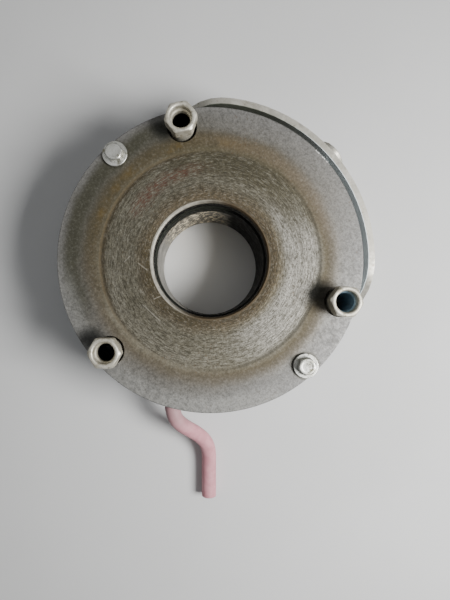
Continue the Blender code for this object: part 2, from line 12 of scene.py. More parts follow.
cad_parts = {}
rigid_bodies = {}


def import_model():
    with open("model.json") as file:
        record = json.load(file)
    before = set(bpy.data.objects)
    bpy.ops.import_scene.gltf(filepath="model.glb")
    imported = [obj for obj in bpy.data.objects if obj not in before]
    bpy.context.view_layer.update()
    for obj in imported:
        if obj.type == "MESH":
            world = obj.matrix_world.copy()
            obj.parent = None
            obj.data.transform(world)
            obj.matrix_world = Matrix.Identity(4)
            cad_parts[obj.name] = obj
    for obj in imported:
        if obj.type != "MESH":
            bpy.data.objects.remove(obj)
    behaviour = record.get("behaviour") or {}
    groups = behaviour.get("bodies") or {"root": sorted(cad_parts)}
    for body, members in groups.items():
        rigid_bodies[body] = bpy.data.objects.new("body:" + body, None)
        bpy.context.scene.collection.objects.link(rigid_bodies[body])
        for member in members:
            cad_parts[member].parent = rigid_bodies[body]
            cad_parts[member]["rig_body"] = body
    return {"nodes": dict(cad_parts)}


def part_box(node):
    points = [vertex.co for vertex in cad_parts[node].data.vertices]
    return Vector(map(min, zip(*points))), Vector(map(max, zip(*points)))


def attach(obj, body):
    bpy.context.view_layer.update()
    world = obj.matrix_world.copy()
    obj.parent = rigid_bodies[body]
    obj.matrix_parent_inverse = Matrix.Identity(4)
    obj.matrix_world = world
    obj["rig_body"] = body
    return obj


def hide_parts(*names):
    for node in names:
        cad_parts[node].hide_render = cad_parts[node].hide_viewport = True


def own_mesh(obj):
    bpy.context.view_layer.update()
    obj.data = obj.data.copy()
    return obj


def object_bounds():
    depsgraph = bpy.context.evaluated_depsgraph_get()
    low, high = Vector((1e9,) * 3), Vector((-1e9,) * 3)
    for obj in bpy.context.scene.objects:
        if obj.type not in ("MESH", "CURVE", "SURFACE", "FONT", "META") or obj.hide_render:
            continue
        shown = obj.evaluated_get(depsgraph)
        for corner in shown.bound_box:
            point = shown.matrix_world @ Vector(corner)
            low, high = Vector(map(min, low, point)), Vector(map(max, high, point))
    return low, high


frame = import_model()
CAD_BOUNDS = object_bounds()
NODES = frame["nodes"]


class StainAndPaintedLight(NamedTuple):
    """A tint on a stretch of a ring about the plate's axis, with lengths in metres; some are real stains
    and some are painted light and shade.
    """

    share: float  # how much of the tint shows where the stain is full
    angle: float  # its middle, in degrees of the photograph's plan
    faint: float  # the cosine, from its middle, at which it starts
    full: float  # the cosine at which it is full
    inner: float  # the ring's radii
    outer: float
    tint: tuple
    blur: float = 0.004  # how far the ring fades to either side of its edges


# What was read from the photograph, in pixels of its 450 by 600 frame
PHOTO_WIDTH = 450
PHOTO_HEIGHT = 600
FOCAL_PIXELS = 450
AXIS_VANISHES = (208, 307)
PLATE_CENTRE = (210.3, 260)
PLATE_RADIUS = 153.4
SCRATCHES = [
    ((124, 262), (130, 256)),
    ((138, 263), (147, 270)),
    ((154, 299), (163, 295)),
    ((143, 305), (160, 321)),
]
# Painted shadows that the sleeve bolts cast to their left on the plate, as pixels
SLEEVE_SHADOWS = [(162, 128), (91, 339), (320, 293)]

# Chips on the plate's edge: a pixel of the photograph, and the chip's size in metres
CHIPS = [
    ((317, 150.5), 0.0005),
    ((319.5, 152), 0.0007),
    ((322, 153.5), 0.0008),
    ((324, 156), 0.0010),
    ((326, 158.5), 0.0007),
    ((328, 161), 0.0006),
    ((330, 164), 0.0004),
]

# How far the photograph's upward direction is turned from the frame's +Y
PHOTO_TURN = math.radians(48)

# The plate's colour by distance from its axis, in metres
PLATE_ZONES = [
    (0.0355, (0.10, 0.085, 0.055)),
    (0.0395, (0.13, 0.095, 0.050)),
    (0.0440, (0.15, 0.125, 0.080)),
    (0.0480, (0.18, 0.165, 0.120)),
    (0.0640, (0.20, 0.185, 0.135)),
    (0.0690, (0.19, 0.168, 0.118)),
    (0.0715, (0.145, 0.122, 0.082)),
    (0.0750, (0.16, 0.140, 0.108)),
    (0.0800, (0.225, 0.213, 0.190)),
    (0.0960, (0.275, 0.268, 0.255)),
]

# Tints over those zones, part real stains and part painted light and shade: polish with a painted sheen
# on the track toward the photograph's right, painted shade on the outer ring's right, lighter patches at
# the lower left, film with painted shade on the track's top and the outer ring's left, a dark brown patch
# by the bore, and the brown ring
PLATE_STAINS_AND_SHADING = [
    StainAndPaintedLight(0.75, -15, 0.25, 0.95, 0.0465, 0.0670, (0.41, 0.395, 0.36)),
    StainAndPaintedLight(0.50, -35, 0.35, 0.95, 0.0800, 0.1050, (0.16, 0.162, 0.165)),
    StainAndPaintedLight(0.40, 225, 0.50, 0.95, 0.0580, 0.0700, (0.30, 0.28, 0.225)),
    StainAndPaintedLight(0.80, 70, 0.45, 0.95, 0.0525, 0.0700, (0.085, 0.074, 0.038)),
    StainAndPaintedLight(0.75, 120, 0.00, 0.70, 0.0700, 0.0800, (0.095, 0.076, 0.036)),
    StainAndPaintedLight(0.35, 52, 0.60, 0.95, 0.0700, 0.0780, (0.26, 0.205, 0.145)),
    StainAndPaintedLight(0.90, 152, 0.30, 0.85, 0.0800, 0.0910, (0.079, 0.077, 0.050)),
    StainAndPaintedLight(0.50, 135, 0.10, 0.80, 0.0650, 0.0690, (0.080, 0.068, 0.036)),
    StainAndPaintedLight(0.70, 240, 0.35, 0.90, 0.0850, 0.1050, (0.40, 0.395, 0.37)),
    StainAndPaintedLight(0.85, 212, 0.40, 0.90, 0.0350, 0.0420, (0.048, 0.034, 0.008), 0.002),
]
RED_STREAKS = StainAndPaintedLight(0.75, 116, 0.82, 0.98, 0.0530, 0.0600, (0.15, 0.070, 0.050), 0.003)
AMBER_STAINS = StainAndPaintedLight(0.45, 128, 0.55, 0.95, 0.0715, 0.0760, (0.18, 0.118, 0.034), 0.002)

# Sizes that the frame's boxes don't give, in metres; a round is the radius of a piece's corners, and
# a bevel under a head is given as how far in and how far up it goes
EDGE = 0.0008
PLATE_BORE_R = 0.0355
BORE_CHAMFER = 0.0011
PLATE_ROUND = 0.0006
TRACK_R = 0.0675
TRACK_DEPTH = 0.0004
TRACK_SHOULDER = 0.0012
TRACK_SCORE = 0.00005
SHOULDER_RISE = 0.0008
SHOULDER_END = 0.079
MOUTH_RISE = 0.0005
SCRATCH_WIDTH = 0.0007
CHIP_BLUR = 0.0006
BITE_R = (0.0006, 0.0011)
GUIDE_R = 0.0091
BOLT_HOLE_R = 0.0036
SLEEVE_FLATS = 0.0178
SLEEVE_R = 0.0074
SLEEVE_BORE_R = 0.0054
SLEEVE_MOUTH_R = 0.0064
SLEEVE_MOUTH_DEPTH = 0.0045
SLEEVE_HEAD_H = 0.0085
SLEEVE_BEVEL = 0.0011
SLEEVE_UNDER_BEVEL = (0.0006, 0.0004)
SLEEVE_BORE_STEP = 0.0010
SLEEVE_MOUTH_CHAMFER = 0.0007
SLEEVE_ROUND = 0.0005
SLEEVE_FACET = 0.0009
DENT_SIZE = 0.0032
DENT_DEPTH = 0.00014
BOLT_FLATS = 0.010
HEAD_FACE_R = 0.465 * BOLT_FLATS
BOLT_R = 0.003
BOLT_HEAD_H = 0.004
BOLT_BEVEL = 0.0006
BOLT_UNDER_BEVEL = (0.0002, 0.0001)
BOLT_DIMPLE = 0.0001
BOLT_ROUND = 0.00025
THREAD_PITCH = 0.001
THREAD_DEPTH = 0.0005
THREAD_REACH = 0.004
NUT_BORE_R = 0.0033
NUT_CHAMFER = 0.0004
NUT_ROUND = 0.0002
WASHER_ROUND = 0.0004
YOKE_T = 0.004
ARM_RISE = 0.010
BOSS_SPIGOT_R = 0.006
BOSS_BORE_R = 0.0045
BOSS_LIP = 0.0032
BOSS_PITCH = 0.0015
BOSS_THREAD_DEPTH = 0.0006
BOSS_ROUND = 0.0006
LEAD_R = 0.0053
LEAD_EXIT_R = 0.0976
LEAD_STRAIGHT = 0.0035
LEAD_STEP = 0.0012
LEAD_LIP = 0.0007
LEAD_WALL = 0.0012
LEAD_RECESS = 0.004
WIRE_R = 0.0016
FLOOR_SIZE = 3.0
FLOOR_DROP = 0.0002

# Turns in radians, and the numbers and shares behind fine shapes
SLEEVE_TURNS = (math.radians(-18), math.radians(-1), math.radians(-12))
LEAD_ANGLE = math.radians(303)
LEAD_UNEVENNESS = 0.006
THREAD_ROWS = 8
WIRE_SPREAD = 1.06
WIRE_POINTS = 7

# Springs: their nodes, joint, coil and wire radii, turns, and the share of length kept when pressed
SPRINGS = [
    ("pressure_spring", range(1, 7), "armature_slide", 0.0040, 0.0008, 4, 0.968),
    ("release_spring", range(1, 3), "yoke_tilt", 0.0047, 0.0005, 3, 0.95),
]

# The lead's route: X and Y from its exit, and the height over what the brake lies on
LEAD_ROUTE = [
    (0.0042, -0.0044, 0.0277),
    (0.0095, -0.0071, 0.0263),
    (0.0157, -0.0077, 0.0239),
    (0.0222, -0.0068, 0.0205),
    (0.0286, -0.0057, 0.0167),
    (0.0354, -0.0053, 0.0130),
    (0.0419, -0.0067, 0.0098),
    (0.0477, -0.0101, 0.0073),
    (0.0527, -0.0144, 0.0060),
    (0.0575, -0.0188, 0.0056),
    (0.0624, -0.0232, 0.0056),
    (0.0672, -0.0275, 0.0056),
    (0.0721, -0.0319, 0.0056),
]

# The Mix node's colour sockets
MIX_COLOURS = slice(6, 8)
MIX_RESULT = 2


def middle(node):
    low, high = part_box(node)
    return (low + high) / 2


PLATE_LOW, PLATE_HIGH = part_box("armature_plate")
AXIS = middle("armature_plate")
PLATE_R = (PLATE_HIGH.x - PLATE_LOW.x) / 2
Z_PLATE = PLATE_LOW.z
Z_FACE = PLATE_HIGH.z
PIXEL = PLATE_R / PLATE_RADIUS
MAGNET_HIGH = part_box("magnet_body")[1]
MAGNET_R = MAGNET_HIGH.x - AXIS.x
YOKE_LOW, YOKE_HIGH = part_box("release_yoke")
YOKE_WALL_R = YOKE_HIGH.y - AXIS.y - YOKE_T
YOKE_WALL_FOOT = YOKE_LOW.z + ARM_RISE
LEAD_OUT = Vector((math.cos(LEAD_ANGLE), math.sin(LEAD_ANGLE), 0))
LEAD_START = Vector((AXIS.x, AXIS.y, middle("lead_grommet").z)) + LEAD_OUT * LEAD_EXIT_R
SIDES = (1, 2)
SLEEVES = [f"sleeve_bolt_{i}" for i in (1, 2, 3)]

# Painted light and shade in each sleeve bolt's bore: its colour, how wide, and from what height over the
# plate; one is painted a lit blue-grey, two painted nearly black shade
SLEEVE_BORE_SHADING = [
    (SLEEVES[0], (0.22, 0.31, 0.37), SLEEVE_BORE_R + 0.0008, 0.0115),
    (SLEEVES[1], (0.006, 0.006, 0.006), SLEEVE_BORE_R + 0.0003, 0.0070),
    (SLEEVES[2], (0.006, 0.006, 0.006), SLEEVE_BORE_R + 0.0003, 0.0070),
]


def plan(right, up, height):
    """A point given by its place in the photograph's plan, right and up from the bore's axis."""
    turned = Matrix.Rotation(PHOTO_TURN, 3, "Z") @ Vector((right, up, 0))
    return Vector((AXIS.x + turned.x, AXIS.y + turned.y, height))


def on_face(pixel):
    """The point of the plate's face that a pixel of the photograph shows."""
    x, y = pixel
    return plan((x - PLATE_CENTRE[0]) * PIXEL, (PLATE_CENTRE[1] - y) * PIXEL, Z_FACE)


def on_plate(node):
    """The point of the plate's face that a node stands over."""
    spot = middle(node)
    return Vector((spot.x, spot.y, Z_FACE))


def add_camera():
    """Stands the camera where the plate and the bore's vanishing point fall as in the photograph."""
    data = bpy.data.cameras.new("camera")
    data.sensor_width = 36
    data.lens = data.sensor_width * FOCAL_PIXELS / PHOTO_HEIGHT
    data.clip_start = 0.01
    camera = bpy.data.objects.new("camera", data)
    bpy.context.scene.collection.objects.link(camera)
    data.shift_x = (PHOTO_WIDTH / 2 - AXIS_VANISHES[0]) / PHOTO_HEIGHT
    data.shift_y = (AXIS_VANISHES[1] - PHOTO_HEIGHT / 2) / PHOTO_HEIGHT
    camera.location = on_face(AXIS_VANISHES)
    camera.location.z += PLATE_R * FOCAL_PIXELS / PLATE_RADIUS
    camera.rotation_euler.z = PHOTO_TURN
    bpy.context.scene.camera = camera


class Look:
    """A material built up one node at a time, in the piece's own coordinates."""

    def __init__(self, name, metallic, specular=0.5):
        self.material = bpy.data.materials.new(name)
        self.material.use_nodes = True
        self.nodes = self.material.node_tree.nodes
        self.links = self.material.node_tree.links
        self.shader = self.nodes["Principled BSDF"]
        self.shader.inputs["Metallic"].default_value = metallic
        self.shader.inputs["Specular IOR Level"].default_value = specular
        self.place = self.nodes.new("ShaderNodeTexCoord").outputs["Object"]
        self.normal = None

    def plug(self, socket, value):
        if isinstance(value, bpy.types.NodeSocket):
            self.links.new(value, socket)
        else:
            socket.default_value = value

    def maths(self, operation, *values):
        node = self.nodes.new("ShaderNodeMath")
        node.operation = operation
        for socket, value in zip(node.inputs, values):
            self.plug(socket, value)
        return node.outputs[0]

    def vector(self, operation, *values, output=0):
        node = self.nodes.new("ShaderNodeVectorMath")
        node.operation = operation
        for socket, value in zip(node.inputs, values):
            self.plug(socket, value)
        return node.outputs[output]

    def spread(self, value, low, high, start=0.0, end=1.0):
        """The value's smooth share of the way from low to high, as a number from start to end."""
        node = self.nodes.new("ShaderNodeMapRange")
        node.interpolation_type = "SMOOTHSTEP"
        for socket, given in zip(node.inputs, (value, low, high, start, end)):
            self.plug(socket, given)
        return node.outputs[0]

    def noise(self, scale, detail=3.0, roughness=0.55, at=None, stretch=None):
        where = self.place if at is None else at
        if stretch:
            where = self.vector("MULTIPLY", where, stretch)
        node = self.nodes.new("ShaderNodeTexNoise")
        self.plug(node.inputs["Vector"], where)
        self.plug(node.inputs["Scale"], scale)
        self.plug(node.inputs["Detail"], detail)
        self.plug(node.inputs["Roughness"], roughness)
        return node.outputs[0]

    def spots(self, scale, size):
        """Round spots, 1 at their middles and 0 past their size, a share of their spacing."""
        node = self.nodes.new("ShaderNodeTexVoronoi")
        self.plug(node.inputs["Vector"], self.place)
        self.plug(node.inputs["Scale"], scale)
        return self.spread(node.outputs["Distance"], size, 0.0)

    def ramp(self, value, stops):
        node = self.nodes.new("ShaderNodeValToRGB")
        ramp = node.color_ramp
        while len(ramp.elements) < len(stops):
            ramp.elements.new(0.5)
        for element, (position, colour) in zip(ramp.elements, stops):
            element.position = position
            element.color = (*colour, 1.0)
        self.plug(node.inputs[0], value)
        return node.outputs[0]

    def mix(self, share, first, second):
        node = self.nodes.new("ShaderNodeMix")
        node.data_type = "RGBA"
        node.clamp_factor = True
        self.plug(node.inputs[0], share)
        for socket, colour in zip(node.inputs[MIX_COLOURS], (first, second)):
            self.plug(socket, (*colour, 1.0) if isinstance(colour, tuple) else colour)
        return node.outputs[MIX_RESULT]

    def times(self, first, second):
        return self.maths("MULTIPLY", first, second)

    def most(self, masks):
        """The strongest of several masks."""
        result = masks[0]
        for mask in masks[1:]:
            result = self.maths("MAXIMUM", result, mask)
        return result

    def ragged(self, value, unevenness, amount):
        """The value moved up and down by a noise, at most by half the amount."""
        return self.maths("MULTIPLY_ADD", self.maths("SUBTRACT", unevenness, 0.5), amount, value)

    def close_to(self, value, aim, near, far):
        """1 where the value is within the near distance of a number, 0 past the far one."""
        return self.spread(self.maths("ABSOLUTE", self.maths("SUBTRACT", value, aim)), far, near)

    def near(self, point, inner, outer, wobble=0.0):
        """1 within the inner distance of a point of the frame, 0 past the outer one."""
        away = self.vector("DISTANCE", self.place, tuple(point), output=1)
        if wobble:
            away = self.ragged(away, self.noise(1.5 / outer, 4), wobble)
        return self.spread(away, outer, inner)

    def about_axis(self):
        """The distance from the brake's axis, and the direction away from it."""
        flat = self.vector("MULTIPLY", self.place, (1, 1, 0))
        centred = self.vector("SUBTRACT", flat, (AXIS.x, AXIS.y, 0))
        return self.vector("LENGTH", centred, output=1), self.vector("NORMALIZE", centred)

    def height(self):
        node = self.nodes.new("ShaderNodeSeparateXYZ")
        self.plug(node.inputs[0], self.place)
        return node.outputs[2]

    def sector(self, around, patchy, degrees, low, high):
        """1 where the direction from the axis nears an angle of the photograph's plan."""
        aim = plan(math.cos(math.radians(degrees)), math.sin(math.radians(degrees)), AXIS.z) - AXIS
        likeness = self.vector("DOT_PRODUCT", around, tuple(aim), output=1)
        return self.spread(self.ragged(likeness, patchy, 0.5), low, high)

    def ringed(self, fineness, turns):
        """Noise drawn out along circles round the brake's axis."""
        radius, around = self.about_axis()
        rings = self.nodes.new("ShaderNodeCombineXYZ")
        self.plug(rings.inputs[2], self.times(radius, fineness))
        where = self.vector("MULTIPLY_ADD", around, (turns, turns, turns), rings.outputs[0])
        return self.noise(1.0, 5, 0.75, at=where)

    def scratch(self, start, end, width):
        """1 along a straight scratch between two points, 0 beside it."""
        along = end - start
        offset = self.vector("SUBTRACT", self.place, tuple(start))
        share = self.vector("DOT_PRODUCT", offset, tuple(along / along.length_squared), output=1)
        share = self.maths("MINIMUM", self.maths("MAXIMUM", share, 0.0), 1.0)
        nearest = self.nodes.new("ShaderNodeVectorMath")
        nearest.operation = "SCALE"
        self.plug(nearest.inputs[0], tuple(along))
        self.plug(nearest.inputs["Scale"], share)
        away = self.vector("DISTANCE", offset, nearest.outputs[0], output=1)
        return self.spread(away, width, 0.0)

    def bump(self, height, distance, strength=1.0):
        node = self.nodes.new("ShaderNodeBump")
        self.plug(node.inputs["Strength"], strength)
        self.plug(node.inputs["Distance"], distance)
        self.plug(node.inputs["Height"], height)
        if self.normal is not None:
            self.plug(node.inputs["Normal"], self.normal)
        self.normal = node.outputs[0]

    def finish(self, colour, unevenness, smoothest, roughest):
        self.plug(self.shader.inputs["Base Color"], colour)
        roughness = self.spread(unevenness, 0.3, 0.7, smoothest, roughest)
        self.plug(self.shader.inputs["Roughness"], roughness)
        if self.normal is not None:
            self.plug(self.shader.inputs["Normal"], self.normal)
        return self.material


class PlateLook(Look):
    """Worn steel: scored track, brown ring beyond it, dark film with painted shade on the photograph's
    left and top, and a painted sheen on its right.
    """

    def __init__(self):
        super().__init__("worn_steel", 0.82)
        self.radius, self.around = self.about_axis()
        self.patchy = self.noise(36, 5, 0.6)
        self.ragged_radius = self.ragged(self.radius, self.patchy, 0.008)
        self.on_track = self.spread(self.radius, TRACK_R + TRACK_SHOULDER, TRACK_R - TRACK_SHOULDER)
        self.mottle = self.noise(620, 5, 0.72)
        self.grain = self.noise(1150, 2, 0.6)
        self.scores = self.ringed(900.0, 3.5)
        self.streaks = self.ringed(1500.0, 15.0)
        wide = PLATE_R - PLATE_BORE_R
        share = self.maths("DIVIDE", self.maths("SUBTRACT", self.ragged_radius, PLATE_BORE_R), wide)
        self.colour = self.ramp(share, [((r - PLATE_BORE_R) / wide, tint) for r, tint in PLATE_ZONES])

    def toward(self, degrees, low, high):
        return self.sector(self.around, self.patchy, degrees, low, high)

    def band(self, inner, outer, blur):
        """1 on a ring about the axis with ragged edges, 0 off it."""
        within = self.spread(self.ragged_radius, inner - blur, inner + blur)
        return self.times(within, self.spread(self.ragged_radius, outer + blur, outer - blur))

    def tint(self, share, mask, tint):
        self.colour = self.mix(self.times(mask, share), self.colour, tint)

    def lay(self, ring_tint, where=1.0):
        """Tints one stretch of a ring, real stains and painted light alike, as far as another mask lets
        it.
        """
        stretch = self.toward(ring_tint.angle, ring_tint.faint, ring_tint.full)
        mask = self.times(stretch, self.band(ring_tint.inner, ring_tint.outer, ring_tint.blur))
        self.tint(ring_tint.share, self.times(mask, where), ring_tint.tint)

    def mottle_metal(self):
        """The broad stains and painted light and shade, then a fine mottle of dark and light."""
        for ring_tint in PLATE_STAINS_AND_SHADING:
            self.lay(ring_tint)
        self.tint(0.32, self.spread(self.mottle, 0.48, 0.64), (0.075, 0.068, 0.046))
        self.tint(0.16, self.spread(self.mottle, 0.50, 0.36), (0.42, 0.40, 0.35))

    def wear_track(self):
        """A dark line in the step at the track's edge toward the photograph's left, streaks and scores on
        the track, pepper all over.
        """
        step = self.close_to(self.radius, TRACK_R, 0.0008, 0.0026)
        self.tint(0.8, self.times(step, self.toward(165, 0.0, 0.9)), (0.060, 0.042, 0.018))
        dark = self.times(self.spread(self.streaks, 0.49, 0.62), self.on_track)
        light = self.times(self.spread(self.streaks, 0.49, 0.36), self.on_track)
        self.tint(0.85, dark, (0.055, 0.049, 0.032))
        self.tint(0.38, light, (0.46, 0.44, 0.38))
        pepper = self.maths("MULTIPLY_ADD", self.on_track, 0.2, 0.25)
        self.tint(pepper, self.spread(self.grain, 0.42, 0.62), (0.055, 0.050, 0.038))
        scored = self.times(self.spread(self.scores, 0.47, 0.68), self.on_track)
        self.tint(0.55, scored, (0.085, 0.076, 0.055))
        self.lay(RED_STREAKS, self.spread(self.streaks, 0.42, 0.58))

    def soil(self):
        """Rust spots, amber stains, dirt with painted contact shade round the release bolts, and painted
        shadows beside the sleeves.
        """
        rust_spots = self.times(self.spots(380, 0.34), self.spread(self.patchy, 0.52, 0.64))
        self.tint(0.5, rust_spots, (0.13, 0.075, 0.035))
        self.lay(AMBER_STAINS, self.spread(self.patchy, 0.44, 0.56))
        heads = [on_plate(f"release_bolt_{i}") for i in SIDES]
        # Dirt and painted contact shade in a ring round each release bolt's washer
        grime_and_contact_shade = self.most([self.near(head, 0.0078, 0.0098, 0.002) for head in heads])
        self.tint(0.6, grime_and_contact_shade, (0.060, 0.058, 0.040))
        # Painted shadows that the sleeve bolts cast on the plate
        sleeve_shadow = self.most([self.near(on_face(p), 0.002, 0.011, 0.006) for p in SLEEVE_SHADOWS])
        self.tint(0.75, sleeve_shadow, (0.025, 0.027, 0.024))

    def mark(self):
        """Scratches, and bright chips on the plate's edge."""
        scratches = [self.scratch(on_face(a), on_face(b), SCRATCH_WIDTH) for a, b in SCRATCHES]
        self.tint(0.85, self.most(scratches), (0.62, 0.58, 0.50))
        chips = [self.near(on_face(p), size, size + CHIP_BLUR, 2 * CHIP_BLUR) for p, size in CHIPS]
        self.tint(self.spread(self.mottle, 0.36, 0.46), self.most(chips), (0.90, 0.89, 0.86))

    def shade_mouth(self):
        """The chamfer's rim, brown with a painted highlight on one side, and the bore dark below it."""
        rim = self.close_to(self.radius, PLATE_BORE_R + 0.8 * BORE_CHAMFER, 0.0007, 0.0014)
        self.colour = self.mix(rim, self.colour, (0.10, 0.075, 0.045))
        # A painted highlight on the chamfer's left side, which faces the key light
        self.tint(self.toward(165, -0.1, 0.7), rim, (0.55, 0.52, 0.44))
        inside = self.spread(self.radius, PLATE_BORE_R + 0.0006, PLATE_BORE_R + 0.0002)
        below = self.spread(self.height(), Z_FACE - 0.0016, Z_FACE - 0.0022)
        self.tint(inside, below, (0.010, 0.010, 0.008))

    def shape(self):
        """The soft shoulder and mouth, and the fine relief of scores, streaks and grain."""
        self.bump(self.spread(self.radius, TRACK_R - 0.002, SHOULDER_END), SHOULDER_RISE)
        self.bump(self.spread(self.radius, PLATE_BORE_R + 0.001, PLATE_BORE_R + 0.007), MOUTH_RISE)
        self.bump(self.scores, 0.00012, self.times(self.on_track, 0.6))
        self.bump(self.streaks, 0.0001, self.times(self.on_track, 0.5))
        self.bump(self.grain, 0.0001, self.maths("MULTIPLY_ADD", self.on_track, 0.45, 0.15))
        self.bump(self.noise(120, 5), 0.0003, 0.2)


def plate_look():
    look = PlateLook()
    look.mottle_metal()
    look.wear_track()
    look.soil()
    look.mark()
    look.shade_mouth()
    look.shape()
    return look.finish(look.colour, look.noise(420, 4), 0.44, 0.66)


def metal_look(name, metallic, tones, dirt, dirt_share, roughness, rust=None, detail=None):
    """Worn metal: two tones in blotches, dirt in patches, fine grain, rust spots, its own detail."""
    look = Look(name, metallic)
    blotches = look.noise(130, 5, 0.6)
    colour = look.mix(look.spread(blotches, 0.35, 0.65), *tones)
    start = 0.62 - 0.3 * dirt_share
    patches = look.spread(look.noise(260, 6, 0.7), start, start + 0.23)
    colour = look.mix(patches, colour, dirt)
    colour = look.mix(look.spread(look.noise(2250, 2, 0.6), 0.45, 0.8, 0.0, 0.35), colour, dirt)
    if rust:
        spots = look.times(look.spots(300, 0.38), look.spread(blotches, 0.48, 0.6))
        colour = look.mix(look.times(spots, 0.7), colour, rust)
    if detail:
        colour = detail(look, colour)
    look.bump(look.noise(900, 4), 0.00012, 0.3)
    look.bump(patches, 0.00008, 0.25)
    return look.finish(colour, look.noise(450, 4), *roughness)


def sleeve_bores(look, colour):
    """Painted light and shade in the sleeve bolts' bores below their mouths: one a painted lit blue-grey,
    two painted shade nearly black.
    """
    flat = look.vector("MULTIPLY", look.place, (1, 1, 0))
    height = look.height()
    for node, tint, reach, over in SLEEVE_BORE_SHADING:
        spot = middle(node)
        away = look.vector("DISTANCE", flat, (spot.x, spot.y, 0), output=1)
        inside = look.spread(away, reach + 0.0005, reach)
        deep = look.spread(height, Z_FACE + over + 0.0015, Z_FACE + over)
        colour = look.mix(look.times(inside, deep), colour, tint)
    return colour


def yoke_wall(look, colour):
    """The skirt's inner wall above the arms: painted bluish light at the photograph's right, painted
    shade at its top.
    """
    patchy = look.noise(130, 5, 0.6)
    radius, around = look.about_axis()
    above_arms = look.spread(look.height(), YOKE_WALL_FOOT, YOKE_WALL_FOOT + 0.006)
    wall = look.times(look.spread(radius, YOKE_WALL_R + 0.0004, YOKE_WALL_R + 0.0001), above_arms)
    # Painted light: the wall, which lies in shade, made pale bluish and less metallic at the right
    pale = look.times(wall, look.sector(around, patchy, 0, 0.25, 0.95))
    # Painted shade on the wall at its top
    darkened = look.times(wall, look.sector(around, patchy, 95, 0.60, 0.95))
    metallic = look.shader.inputs["Metallic"]
    full = metallic.default_value
    look.plug(metallic, look.maths("MULTIPLY_ADD", pale, -full, full))
    colour = look.mix(pale, colour, (0.88, 0.97, 1.00))
    return look.mix(look.times(darkened, 0.85), colour, (0.17, 0.19, 0.15))


def bore_wall(look, around, blotches):
    """The magnet's bore wall: pale and crusted on one side, painted shade on the other, darker towards
    its mouth.
    """
    wall = look.mix(look.spread(look.noise(90, 5), 0.35, 0.65), (0.30, 0.29, 0.26), (0.46, 0.44, 0.40))
    streaks = look.noise(1.0, 4, 0.6, stretch=(90, 90, 900))
    wall = look.mix(look.spread(streaks, 0.5, 0.75, 0.0, 0.5), wall, (0.16, 0.15, 0.12))
    crusted = look.sector(around, blotches, 112, 0.70, 0.92)
    wall = look.mix(look.times(crusted, 0.7), wall, (0.15, 0.13, 0.09))
    crust = look.times(look.spread(look.noise(300, 6, 0.72), 0.50, 0.54), crusted)
    wall = look.mix(crust, wall, (1.00, 0.90, 0.70))
    pits = look.times(look.spots(420, 0.42), look.sector(around, blotches, 112, 0.6, 0.85))
    wall = look.mix(look.times(pits, 0.9), wall, (0.08, 0.05, 0.02))
    darkened = look.ragged(look.height(), blotches, 0.006)
    darkened = look.maths("MULTIPLY_ADD", look.sector(around, blotches, 90, 0.2, 0.8), 0.005, darkened)
    mouth = look.spread(darkened, MAGNET_HIGH.z - 0.0055, MAGNET_HIGH.z - 0.0035)
    wall = look.mix(mouth, wall, (0.020, 0.022, 0.016))
    # Painted shade: the wall's side toward the right made nearly black
    wall = look.mix(look.sector(around, blotches, 336, -0.12, 0.05), wall, (0.008, 0.008, 0.007))
    return wall, crust


def magnet_look():
    """Dark cast steel with rust spots, turned grey outside, and its bore's wall."""
    look = Look("dark_cast_steel", 0.75)
    radius, around = look.about_axis()
    blotches = look.noise(60, 5, 0.65)
    colour = look.mix(look.spread(blotches, 0.38, 0.66), (0.055, 0.056, 0.053), (0.10, 0.095, 0.085))
    rusty = look.times(look.spots(210, 0.36), look.spread(blotches, 0.45, 0.6))
    colour = look.mix(look.times(rusty, 0.7), colour, (0.17, 0.085, 0.04))
    turned = look.mix(look.spread(blotches, 0.36, 0.66), (0.26, 0.265, 0.26), (0.38, 0.385, 0.375))
    colour = look.mix(look.spread(radius, MAGNET_R - 0.002, MAGNET_R - 0.001), colour, turned)
    wall, crust = bore_wall(look, around, blotches)
    colour = look.mix(look.spread(radius, PLATE_BORE_R + 0.002, PLATE_BORE_R), colour, wall)
    look.bump(look.noise(700, 4), 0.00016, 0.4)
    look.bump(crust, 0.0003, 0.5)
    return look.finish(colour, look.noise(300, 4), 0.5, 0.72)


def soft_look(name, tones, roughness, grain, depth=0.0001, grime_shade_spot=None):
    """Rubber, nylon, resin or silicone: two close tones, dust, a fine skin, and a spot made darker by
    dirt and by painted shade.
    """
    look = Look(name, 0.0, 0.4)
    colour = look.mix(look.spread(look.noise(170, 4), 0.35, 0.65), *tones)
    dust = look.spread(look.noise(520, 5, 0.7), 0.55, 0.85, 0.0, 0.4)
    colour = look.mix(dust, colour, tuple(0.5 * tone + 0.12 for tone in tones[1]))
    if grime_shade_spot:
        # Dirt and painted shade from the plate's edge, at the lead's exit
        grime_and_shade = look.near(grime_shade_spot, 0.008, 0.028, 0.010)
        colour = look.mix(look.times(grime_and_shade, 0.55), colour, (0.22, 0.18, 0.17))
    look.bump(look.noise(grain, 3), depth, 0.35)
    return look.finish(colour, look.noise(grain / 3, 3), *roughness)


def coil_look():
    """Fine turns of enamelled wire."""
    look = Look("copper_wire", 0.85)
    turns = look.noise(1.0, 1, 0.3, stretch=(40, 40, 1500))
    colour = look.mix(look.spread(turns, 0.35, 0.65), (0.30, 0.10, 0.04), (0.62, 0.27, 0.13))
    look.bump(turns, 0.0003, 0.6)
    return look.finish(colour, look.noise(600, 3), 0.28, 0.45)


def floor_look():
    look = Look("pale_floor", 0.0, 0.3)
    colour = look.mix(look.spread(look.noise(3, 5), 0.35, 0.65), (0.62, 0.62, 0.61), (0.67, 0.67, 0.66))
    look.bump(look.noise(60, 4), 0.0006, 0.15)
    return look.finish(colour, look.noise(9, 3), 0.55, 0.7)


